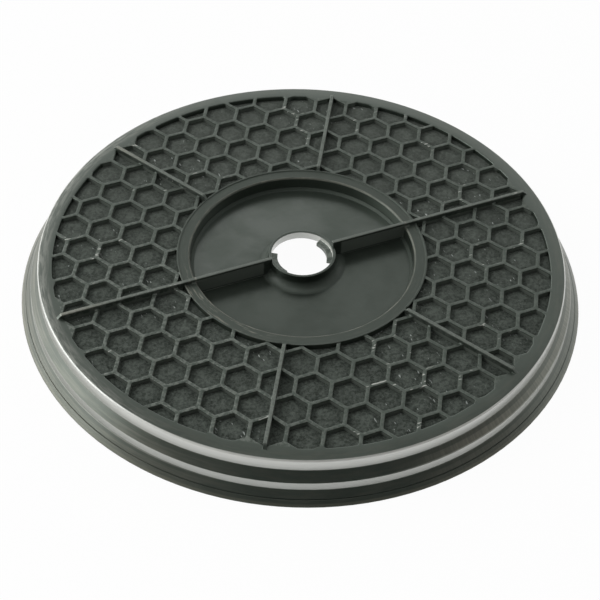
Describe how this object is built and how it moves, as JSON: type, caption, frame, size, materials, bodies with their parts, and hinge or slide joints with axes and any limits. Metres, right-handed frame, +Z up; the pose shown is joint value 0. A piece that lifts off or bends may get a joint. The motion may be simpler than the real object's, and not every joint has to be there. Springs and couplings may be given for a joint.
{
  "type": "cooker hood carbon filter",
  "caption": "Round cooker hood carbon filter: honeycomb front with radial ribs, recessed dish with a bayonet hub, stepped rim, charcoal bed between fleece layers and a slotted rear tray.",
  "frame": {"origin": "centre of the underside of the flange, on the bore axis", "axes": "+Z up along the bore axis, out of the honeycomb face; +X along the long rib that crosses the dish"},
  "size_m": [0.233, 0.233, 0.0196],
  "materials": {
    "grille_plastic": "dark greenish grey moulded plastic, satin",
    "tray_plastic": "dark greenish grey moulded plastic, satin",
    "fleece": "dark grey non-woven fleece",
    "charcoal": "black charcoal granules"
  },
  "bodies": {
    "root": {"front_grille": "grille_plastic", "rear_tray": "tray_plastic", "front_fleece": "fleece", "carbon_bed": "charcoal", "rear_fleece": "fleece"}
  },
  "joints": []
}
